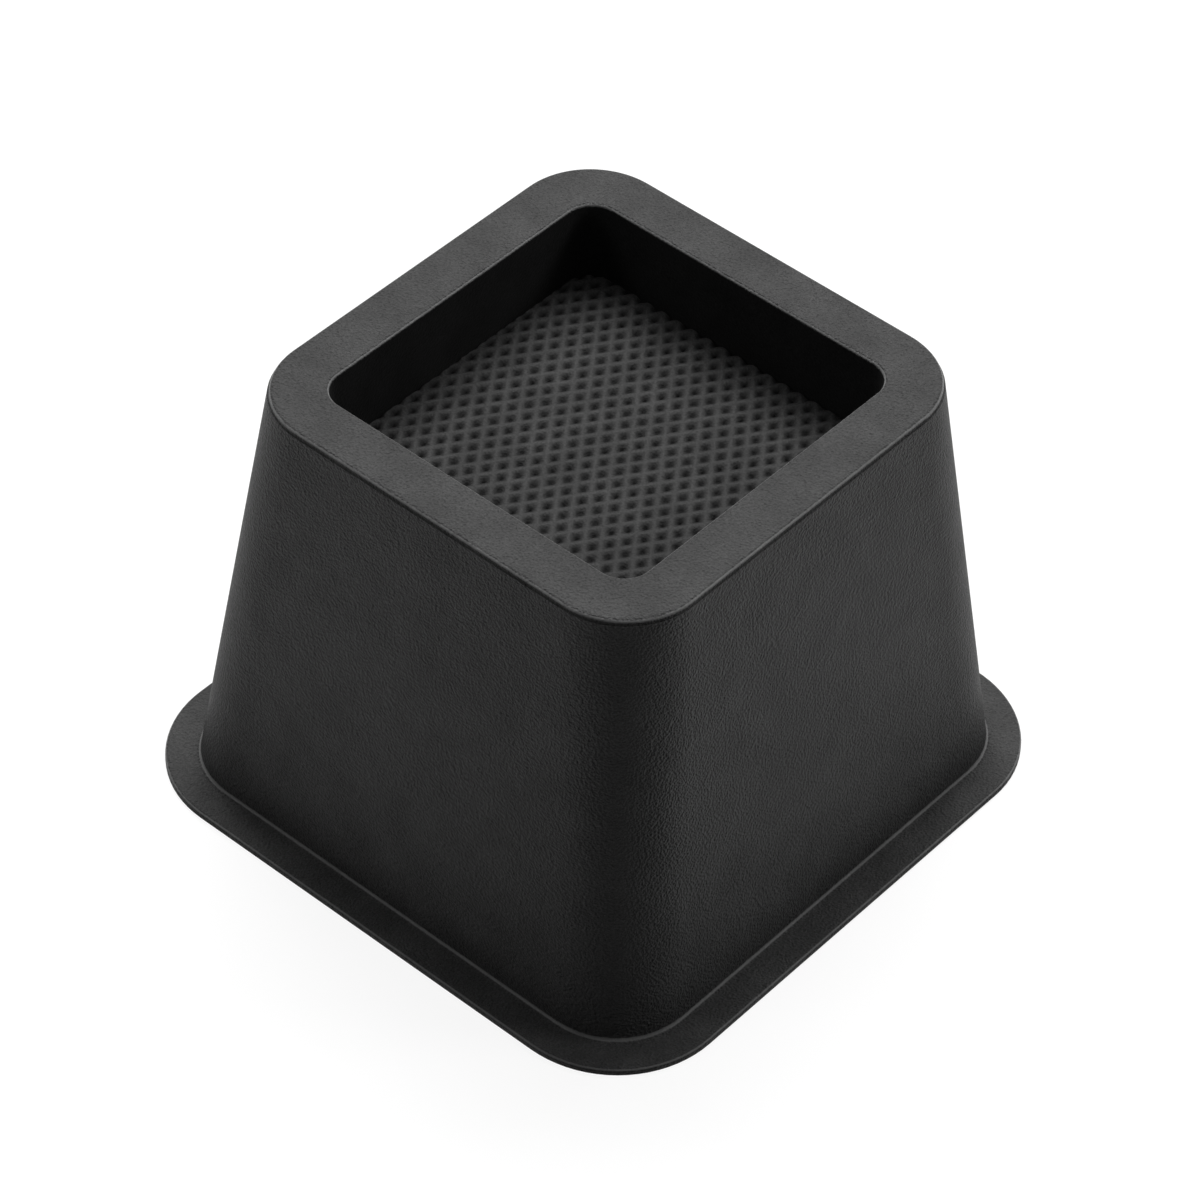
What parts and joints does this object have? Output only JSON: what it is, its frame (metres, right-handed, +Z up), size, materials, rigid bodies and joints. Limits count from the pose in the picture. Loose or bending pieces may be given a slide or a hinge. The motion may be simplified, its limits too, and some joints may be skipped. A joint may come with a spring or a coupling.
{
  "type": "bed riser",
  "caption": "Square tapered bed riser: hollow black moulded body with a flanged foot and a recess for a furniture leg, lined with a diamond-embossed grip pad.",
  "frame": {"origin": "centre of the base, on the floor", "axes": "+Z up through the centre of the recess, X and Y square to the sides"},
  "size_m": [0.1412, 0.1412, 0.1016],
  "materials": {
    "black_plastic": "satin, fine moulded grain",
    "grip_rubber": "matt, embossed with diamond pits"
  },
  "bodies": {
    "root": {"riser_body": "black_plastic", "grip_pad": "grip_rubber"}
  },
  "joints": []
}
